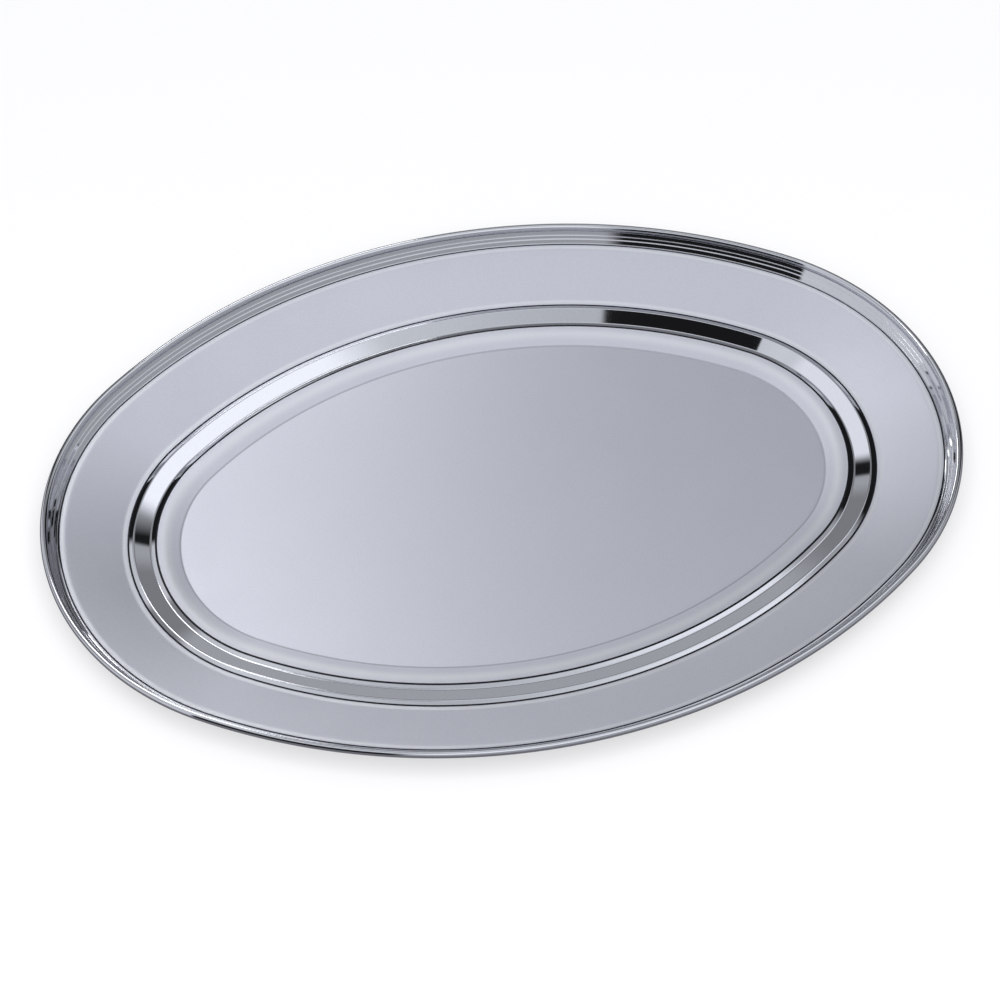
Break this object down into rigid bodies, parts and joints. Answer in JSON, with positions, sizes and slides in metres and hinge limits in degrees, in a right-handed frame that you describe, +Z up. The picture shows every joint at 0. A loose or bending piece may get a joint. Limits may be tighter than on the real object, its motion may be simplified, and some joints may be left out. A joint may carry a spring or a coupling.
{
  "type": "oval serving tray",
  "caption": "Oval stainless serving platter with a satin well and flange, a polished moulding between them and a stepped rim rolled over a stiffening wire.",
  "frame": {"origin": "middle of the base's underside, on the surface that the tray stands on", "axes": "+X along the platter's length, +Y across it, +Z up out of the well"},
  "size_m": [0.5, 0.3598, 0.0244],
  "materials": {
    "stainless": "fine satin on the well and the flange, mirror polish on the moulding and the rim",
    "wire": "plain drawn wire, hidden inside the rolled bead"
  },
  "bodies": {
    "root": {"pressed_tray": "stainless", "rim_wire": "wire"}
  },
  "joints": []
}
